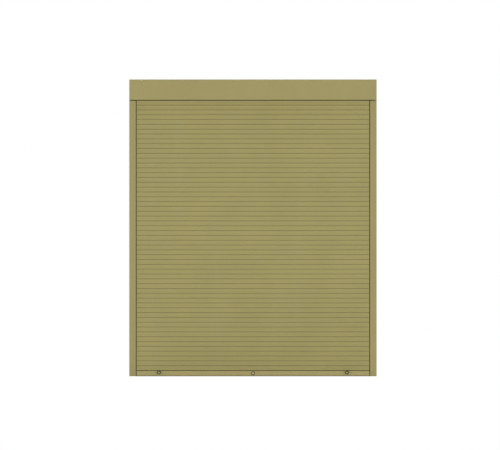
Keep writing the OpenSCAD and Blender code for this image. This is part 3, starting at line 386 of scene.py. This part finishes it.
# lip seals of the guides: barbed root in the groove, ribbed lip that thins towards its tip
# profile in (way past the guide's mouth, distance from the curtain's middle plane)
lipSeal = dict(
    rootBack=-7.85 * mm, neckBack=-6.65 * mm, neckFront=-2.85 * mm, rootFront=-1.65 * mm, tip=5.5 * mm,
    inner=4.8 * mm, outer=6.05 * mm, rootLow=7.35 * mm, barb=0.2 * mm, rootTop=9.35 * mm,
    rootEdge=0.75 * mm, tipRound=0.35 * mm, tipTurn=60, fall=0.55 * mm,
    ribs=(1.2 * mm, 2.4 * mm, 3.6 * mm), ribHalf=0.3 * mm, ribTop=0.1 * mm, ribHigh=0.14 * mm,
)
sealLow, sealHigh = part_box("guide_seals")
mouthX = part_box("right_guide")[0].x


def lipProfile():
    s = lipSeal
    flat = s["neckFront"]
    length = s["tip"] - s["tipRound"] - flat

    def face(a):  # outer face of the lip, falling off towards its tip
        return s["outer"] - s["ribHigh"] - s["fall"] * ((a - flat) / length) ** 2

    r = s["tipRound"]
    points = [(s["neckBack"], s["inner"])]
    points += roundOver(s["tip"] - r, s["inner"] + r, r, -90, s["tipTurn"])
    for rib in reversed(s["ribs"]):
        half, top, high = s["ribHalf"], s["ribTop"], s["ribHigh"]
        points += [(rib + half, face(rib + half)), (rib + top, face(rib) + high)]
        points += [(rib - top, face(rib) + high), (rib - half, face(rib - half))]
    points += [(flat, face(flat)), (flat, s["rootLow"]), (s["rootFront"], s["rootLow"] + s["barb"])]
    points += [(s["rootFront"], s["rootTop"] - s["rootEdge"]), (s["rootFront"] - s["rootEdge"], s["rootTop"])]
    points += [(s["rootBack"] + s["rootEdge"], s["rootTop"]), (s["rootBack"], s["rootTop"] - s["rootEdge"])]
    points += [(s["rootBack"], s["rootLow"] + s["barb"]), (s["neckBack"], s["rootLow"])]
    return points


def buildLips(work):
    for side in (-1, 1):
        for cheek in (-1, 1):
            def place(a, b, z):
                return side * (mouthX - a), cheek * b, z
            runOut(work, lipProfile(), place, sealLow.z, sealHigh.z)


lips = makePiece("guideSeals", buildLips, darkRubber, "frame")
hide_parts("guide_seals")

# slot seal: clip over the cover's upturned edge, with a round lip below the box
slotSeal = dict(thick=1.6 * mm, corner=0.7 * mm, grip=5 * mm, barb=0.5 * mm, lipSteps=8, cornerSteps=4)
slotLow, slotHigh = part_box("slot_seal")


def buildSlotSeal(work):
    s = slotSeal
    t, c, barb = s["thick"], s["corner"], s["barb"]
    bridge = slotHigh.z - t
    gripEnd = bridge - s["grip"]
    profile = roundOver(slotHigh.y - t / 2, slotLow.z + t / 2, t / 2, 180, 360, s["lipSteps"])
    profile += roundOver(slotHigh.y - c, slotHigh.z - c, c, 0, 90, s["cornerSteps"])
    profile += roundOver(slotLow.y + c, slotHigh.z - c, c, 90, 180, s["cornerSteps"])
    profile += [(slotLow.y, gripEnd + barb), (slotLow.y + barb, gripEnd), (slotLow.y + t, gripEnd + barb)]
    profile += [(slotLow.y + t, bridge), (slotHigh.y - t, bridge)]
    runOut(work, profile, alongX, slotLow.x, slotHigh.x)


slotPiece = makePiece("slotSeal", buildSlotSeal, darkRubber, "frame")
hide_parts("slot_seal")

# rubber foot of the bottom bar: round ribs under a root that sits in the bar's groove
footSeal = dict(
    ribs=3, ribSteps=8, shoulder=3.85 * mm, edge=0.5 * mm, neck=1.85 * mm, rootLow=5.55 * mm,
    root=2.85 * mm, rootEdge=0.4 * mm,
)
footLow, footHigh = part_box("bottom_seal")


def buildFoot(work):
    s = footSeal
    half = footHigh.y
    rib = half / s["ribs"]
    profile = [(-half, footLow.z + rib)]
    for k in range(s["ribs"]):  # each rib starts where the last one ends
        mid = rib * (2 * k + 1) - half
        profile += roundOver(mid, footLow.z + rib, rib, 180, 360, s["ribSteps"])[1:]
    upper = [(half, s["shoulder"] - s["edge"]), (half - s["edge"], s["shoulder"]), (s["neck"], s["shoulder"])]
    upper += [(s["neck"], s["rootLow"]), (s["root"], s["rootLow"])]
    upper += [(s["root"], footHigh.z - s["rootEdge"]), (s["root"] - s["rootEdge"], footHigh.z)]
    profile += upper + [(-y, z) for y, z in reversed(upper)]
    runOut(work, profile, alongX, footLow.x, footHigh.x)


foot = makePiece("bottomSeal", buildFoot, darkRubber, "bottom_bar")
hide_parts("bottom_seal")
print("seals: guide lips, slot seal, rubber foot")

# stopper: rubber buffer with a rounded nose, two grooves and a deep seat for its cap
stopper = dict(
    taper=1.5 * mm, noseRound=2.6 * mm, seat=8.65 * mm, seatDepth=7 * mm, seatEdge=0.8 * mm, bore=2.55 * mm,
    grooves=(0.42, 0.62), grooveDepth=0.7 * mm, grooveFloor=0.5 * mm, grooveMouth=1.1 * mm,
    footEdge=0.6 * mm, footRise=1.0 * mm, steps=64,
)
buffLow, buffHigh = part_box("stopper_buffers")
bufferR = (buffHigh.z - buffLow.z) / 2
stopZ = (buffHigh.z + buffLow.z) / 2
stopXs = (buffLow.x + bufferR, buffHigh.x - bufferR)
noseY, baseY = buffLow.y, buffHigh.y


def buildBuffers(work):
    s = stopper
    n, bore, seat = s["noseRound"], s["bore"], s["seat"]
    floorY = noseY + s["seatDepth"]

    def sideR(y):
        return bufferR - s["taper"] * (baseY - y) / (baseY - noseY)

    profile = [(bore, floorY), (seat, floorY), (seat, noseY + s["seatEdge"]), (seat + s["seatEdge"], noseY)]
    profile += roundOver(sideR(noseY) - n, noseY + n, n, -90, 0)
    for share in s["grooves"]:  # they let the rubber squeeze
        mid = noseY + (baseY - noseY) * share
        r = sideR(mid)
        mouth, level, deep = s["grooveMouth"], s["grooveFloor"], s["grooveDepth"]
        profile += [(r, mid - mouth), (r - deep, mid - level), (r - deep, mid + level), (r, mid + mouth)]
    shoulder = baseY - s["footRise"]
    profile += [(sideR(shoulder), shoulder), (bufferR - s["footEdge"], baseY), (bore, baseY)]
    for x in stopXs:
        turnY(work, profile, x, stopZ, s["steps"])


buffers = makePiece("stopperBuffers", buildBuffers, darkRubber, "bottom_bar")
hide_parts("stopper_buffers")

# stopper cap: shallow dome with a rolled edge
stopperCap = dict(
    domeShare=0.86, domeFall=0.35 * mm, domeRings=6, edgeIn=0.9 * mm, edgeBack=1.3 * mm,
    edgeRound=0.85 * mm, edgeTurn=-70, edgeSteps=5, steps=56,
)
lidLow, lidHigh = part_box("stopper_caps")
lidR = (lidHigh.z - lidLow.z) / 2


def buildCaps(work):
    s = stopperCap
    profile = [(0, lidLow.y)]
    for k in range(1, s["domeRings"] + 1):
        share = k / s["domeRings"]
        profile.append((lidR * s["domeShare"] * share, lidLow.y + s["domeFall"] * share ** 2))
    edgeR, edgeY = lidR - s["edgeIn"], lidLow.y + s["edgeBack"]
    profile += roundOver(edgeR, edgeY, s["edgeRound"], s["edgeTurn"], 0, s["edgeSteps"])
    profile += [(lidR, lidHigh.y), (0, lidHigh.y)]
    for x in stopXs:
        turnY(work, profile, x, stopZ, s["steps"])


caps = makePiece("stopperCaps", buildCaps, capPlastic, "bottom_bar")
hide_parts("stopper_caps")

# lock rose: turned ring with a rounded rim and a shallow dish towards the cylinder
rose = dict(
    hole=10.03 * mm, holeEdge=0.5 * mm, holeRise=0.2 * mm, dish=0.8 * mm, taper=1.5 * mm, rim=1.6 * mm,
    rimIn=2.4 * mm, rimFall=0.1 * mm, skirtIn=0.4 * mm, skirtBack=0.8 * mm, footBack=0.3 * mm, steps=72,
)
roseLow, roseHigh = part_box("lock_escutcheon")
roseR = (roseHigh.z - roseLow.z) / 2
roseZ = (roseHigh.z + roseLow.z) / 2


def buildRose(work):
    s = rose
    front, back = roseLow.y, roseHigh.y
    r = roseR - s["taper"]
    dishY = front + s["dish"]
    profile = [(s["hole"], back), (s["hole"], dishY), (s["hole"] + s["holeEdge"], dishY - s["holeRise"])]
    profile += [(r - s["rimIn"], front + s["rimFall"])]
    profile += roundOver(r - s["rim"], front + s["rim"], s["rim"], -90, 0)
    profile += [(roseR - s["skirtIn"], back - s["skirtBack"]), (roseR, back - s["footBack"]), (roseR, back)]
    turnY(work, profile, 0, roseZ, s["steps"])


rosePiece = makePiece("lockRose", buildRose, roseMetal, "bottom_bar")
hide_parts("lock_escutcheon")

# cover screws under the box: button heads with a six-sided socket
coverScrew = dict(
    headR=4 * mm, headH=2 * mm, shankR=2 * mm, socket=1.25 * mm, socketDepth=1.3 * mm, socketEdge=0.25 * mm,
    socketLip=0.1 * mm, crown=0.5, domeShare=0.85, domeRings=5, seatGap=0.05 * mm, neckGap=0.02 * mm,
    tip=0.8 * mm, tipShare=0.6, steps=48,
)
screwLow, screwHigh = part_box("cover_screws")
headR = coverScrew["headR"]
screwXs = (screwLow.x + headR, screwHigh.x - headR)
screwYs = (screwLow.y + headR, screwHigh.y - headR)


# one ring of a screw, round or six-sided across its flats
def screwRing(work, x, y, z, radius, six=False):
    steps = coverScrew["steps"]
    halfFlat = math.pi / 6
    points = []
    for i in range(steps):
        a = 2 * math.pi * i / steps
        r = radius
        if six:
            r = radius / math.cos((a + halfFlat) % (2 * halfFlat) - halfFlat)
        points.append(work.verts.new((x + r * math.cos(a), y + r * math.sin(a), z)))
    return points


def buildScrew(work, x, y):
    s = coverScrew
    under, top = screwLow.z, screwHigh.z
    seat = under + s["headH"]
    rings = [
        screwRing(work, x, y, under + s["socketDepth"], s["socket"], True),
        screwRing(work, x, y, under + s["socketLip"], s["socket"], True),
        screwRing(work, x, y, under, s["socket"] + s["socketEdge"], True),
    ]
    for k in range(1, s["domeRings"] + 1):
        turn = math.pi / 2 * k / s["domeRings"]
        z = under + s["headH"] * s["domeShare"] * (1 - math.cos(turn))
        share = s["crown"] + (1 - s["crown"]) * math.sin(turn)
        rings.append(screwRing(work, x, y, z, s["headR"] * share))
    rings.append(screwRing(work, x, y, seat - s["seatGap"], s["headR"]))
    rings.append(screwRing(work, x, y, seat - s["neckGap"], s["shankR"]))
    rings.append(screwRing(work, x, y, top - s["tip"], s["shankR"]))
    rings.append(screwRing(work, x, y, top, s["shankR"] * s["tipShare"]))
    for near, far in zip(rings, rings[1:]):
        for i in range(len(near)):
            j = (i + 1) % len(near)
            work.faces.new((near[i], near[j], far[j], far[i]))
    work.faces.new(rings[0])
    work.faces.new(rings[-1])


def buildScrews(work):
    for x in screwXs:
        for y in screwYs:
            buildScrew(work, x, y)


screws = makePiece("coverScrews", buildScrews, steel, "frame")
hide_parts("cover_screws")
print("turned pieces: stoppers, caps, rose, screws")

# floor and light
floorLook = dict(
    colour=(0.86, 0.86, 0.855), worn=0.985, wornScale=3.0, rough=0.9, gloss=0.1, size=60.0, drop=1 * mm,
)


def buildFloor():
    s = floorLook
    half = s["size"] / 2
    mesh = bpy.data.meshes.new("floor")
    corners = [(x * half, y * half, -s["drop"]) for x, y in ((-1, -1), (1, -1), (1, 1), (-1, 1))]
    mesh.from_pydata(corners, [], [(0, 1, 2, 3)])
    made, tree, shader, place = startMaterial("paleFloor")
    dust = spreadTo(tree, noise(tree, place, s["wornScale"], detail=4), 0, 1)
    worn = tuple(c * s["worn"] for c in s["colour"])
    tree.links.new(mixColour(tree, dust, s["colour"], worn), shader.inputs["Base Color"])
    shader.inputs["Roughness"].default_value = s["rough"]
    shader.inputs["Specular IOR Level"].default_value = s["gloss"]
    mesh.materials.append(made)
    floor = bpy.data.objects.new("floor", mesh)
    bpy.context.scene.collection.objects.link(floor)


buildFloor()

# suns by name: share of a plain white level, direction as azimuth and height, softness
suns = dict(
    frontLeft=(0.196, 30, 1.5, 3.0),
    frontRight=(0.196, -30, 1.5, 3.0),
    back=(0.52, 180, 35, 14.0),
    left=(0.29, 90, 35, 14.0),
    right=(0.29, -90, 35, 14.0),
    top=(0.20, 0, 90, 22.0),
)
for name, (share, azimuth, height, soft) in suns.items():
    lamp = bpy.data.lights.new(name + "Sun", "SUN")
    lamp.energy = share * math.pi
    lamp.angle = math.radians(soft)
    holder = bpy.data.objects.new(name + "Sun", lamp)
    bpy.context.scene.collection.objects.link(holder)
    a, h = math.radians(azimuth), math.radians(height)
    towards = Vector((-math.sin(a) * math.cos(h), -math.cos(a) * math.cos(h), math.sin(h)))
    holder.rotation_euler = towards.to_track_quat("Z", "Y").to_euler()

# white to the eye and in reflections, a soft fill as light
worldLook = dict(ambient=0.30, seen=1.0)
world = bpy.data.worlds.new("studio")
bpy.context.scene.world = world
world.use_nodes = True
sky = world.node_tree
background = sky.nodes["Background"]
background.inputs["Color"].default_value = (1, 1, 1, 1)
path = addNode(sky, "LightPath")
through = maths(sky, "MAXIMUM", path.outputs["Is Glossy Ray"], path.outputs["Is Transmission Ray"])
seen = maths(sky, "MAXIMUM", path.outputs["Is Camera Ray"], through)
level = spreadTo(sky, seen, worldLook["ambient"], worldLook["seen"], 0, 1)
sky.links.new(level, background.inputs["Strength"])

# camera square to the front, as an elevation is drawn
shot = dict(scale=4.0428, x=-0.0238, z=1.2230, away=8.0, reach=200.0)
lens = bpy.data.cameras.new("elevation")
lens.type = "ORTHO"
lens.ortho_scale = shot["scale"]
lens.clip_end = shot["reach"]
eye = bpy.data.objects.new("elevation", lens)
eye.location = (shot["x"], -shot["away"], shot["z"])
eye.rotation_euler = (math.pi / 2, 0, 0)
bpy.context.scene.collection.objects.link(eye)
bpy.context.scene.camera = eye
bpy.context.scene.view_settings.view_transform = "Standard"
print("stage, light and camera set")
